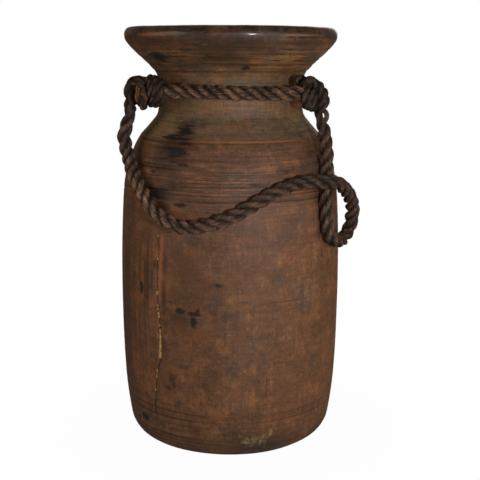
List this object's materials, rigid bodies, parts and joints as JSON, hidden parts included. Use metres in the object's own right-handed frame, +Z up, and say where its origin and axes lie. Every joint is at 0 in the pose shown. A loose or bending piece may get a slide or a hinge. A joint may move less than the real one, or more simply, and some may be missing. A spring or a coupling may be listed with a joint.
{
  "type": "wooden jug",
  "caption": "Turned wooden jug with a wide flared rim, a narrow neck and a rounded body, carried by a loose rope handle knotted to a rope round the neck.",
  "frame": {"origin": "the middle of the flat underside that the jug stands on", "axes": "+Z up along the turning axis, -Y towards the front that the rope handle lies against, +X to the viewer's right"},
  "size_m": [0.2253, 0.2213, 0.392],
  "materials": {
    "wood": "old turned hardwood, handled to a low sheen, with dark stains, fine lathe scratches and a filled crack",
    "filler": "dry pale putty",
    "rope": "three-strand hide or bast rope, dark and greasy, worn tan on its high places"
  },
  "bodies": {
    "jug": {"jug_body": "wood", "crack_filler": "filler"},
    "neck_ring": {"neck_rope": "rope", "left_knot": "rope", "right_knot": "rope"},
    "handle": {"handle_rope": "rope"}
  },
  "joints": [
    {"name": "neck_ring_turn", "type": "hinge", "parent": "jug", "child": "neck_ring", "pos_m": [0, 0, 0.3355], "axis": [0, 0, 1], "continuous": true},
    {"name": "handle_swing", "type": "hinge", "parent": "neck_ring", "child": "handle", "pos_m": [-0.09039, -0.05206, 0.32431], "axis": [-0.9981, 0.0614, 0], "range_deg": [0, 120]}
  ]
}
